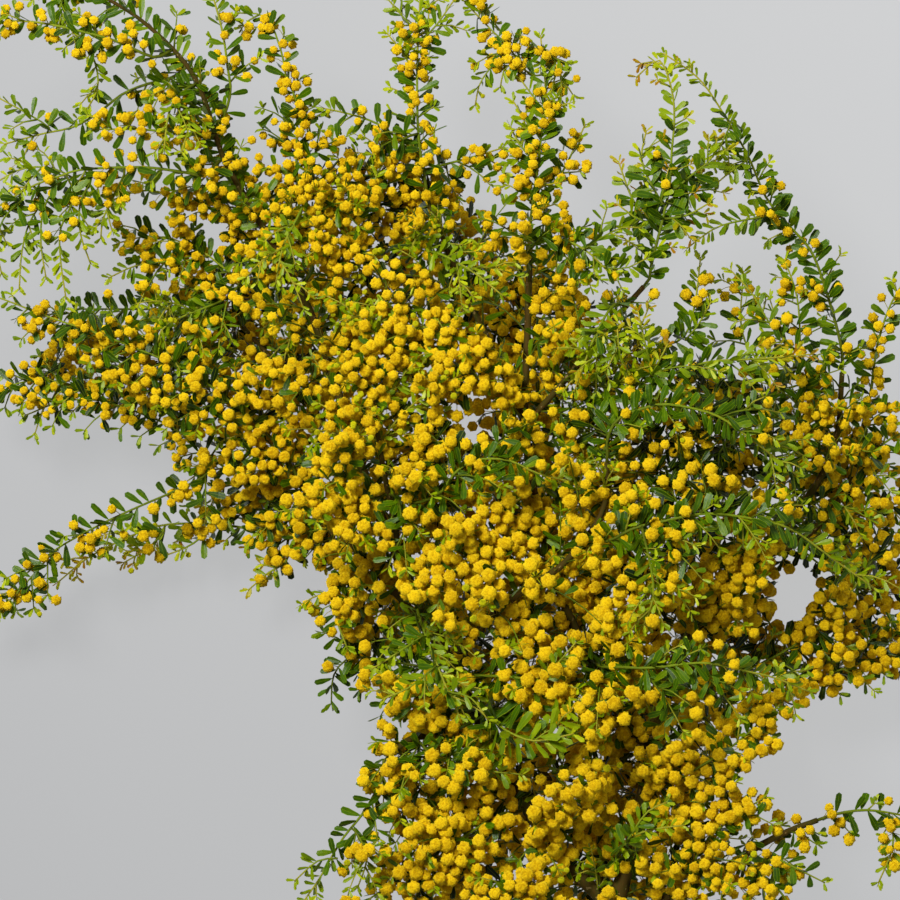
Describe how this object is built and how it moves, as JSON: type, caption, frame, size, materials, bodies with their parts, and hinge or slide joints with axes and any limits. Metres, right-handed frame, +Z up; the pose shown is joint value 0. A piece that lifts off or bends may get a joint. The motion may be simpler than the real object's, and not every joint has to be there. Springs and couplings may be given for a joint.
{
  "type": "golden wattle sprig",
  "caption": "Cut, much-branched wattle sprig lying down, with small oblong leaves and round fluffy yellow flower heads on arching and drooping twigs.",
  "frame": {"origin": "middle of the sprig's outline seen from above, on the surface that it lies on", "axes": "+Y from the cut end to the tips, +X to the right seen from above, +Z up"},
  "size_m": [0.3939, 0.4412, 0.1263],
  "materials": {
    "wood": "matte brown-green bark, olive on the thinner boughs",
    "foliage": "satin green leaves on olive twigs, with matte golden yellow fluffy flower heads"
  },
  "bodies": {
    "root": {"stem": "wood", "left_arch": "foliage", "leader_tip": "foliage", "left_upper": "foliage", "left_yellow": "foliage", "left_long": "foliage", "left_second": "foliage", "left_middle": "foliage", "left_dark": "foliage", "left_sweep": "foliage", "left_lower": "foliage", "left_low": "foliage", "leader_side": "foliage", "leader_right": "foliage", "leader_droop": "foliage", "top_left": "foliage", "top_right": "foliage", "top_light": "foliage", "top_yellow": "foliage", "top_back": "foliage", "right_tall": "foliage", "right_arch": "foliage", "right_upright": "foliage", "right_inner": "foliage", "right_edge": "foliage", "right_side": "foliage", "right_low": "foliage", "right_yellow": "foliage", "front_right": "foliage", "front_bronze": "foliage", "front_cascade": "foliage", "front_lower_right": "foliage", "front_low_1": "foliage", "front_low_2": "foliage", "front_low_3": "foliage", "front_light": "foliage", "front_upper": "foliage", "front_side": "foliage", "front_across": "foliage", "front_hanging": "foliage", "front_top": "foliage", "front_heart": "foliage", "front_crown": "foliage", "lower_right_bend": "foliage", "lower_right_brown": "foliage", "lower_right_tip": "foliage", "lower_right_light": "foliage", "lower_right_under": "foliage", "bottom_right": "foliage", "bottom_middle": "foliage", "lower_right_inner": "foliage", "lower_left_long": "foliage", "lower_left_inner": "foliage", "lower_left_upper": "foliage", "lower_left_dark": "foliage", "lower_left_heart": "foliage", "bottom_left": "foliage", "back_left_spray": "foliage", "back_right_spray": "foliage", "back_low_spray": "foliage"}
  },
  "joints": []
}
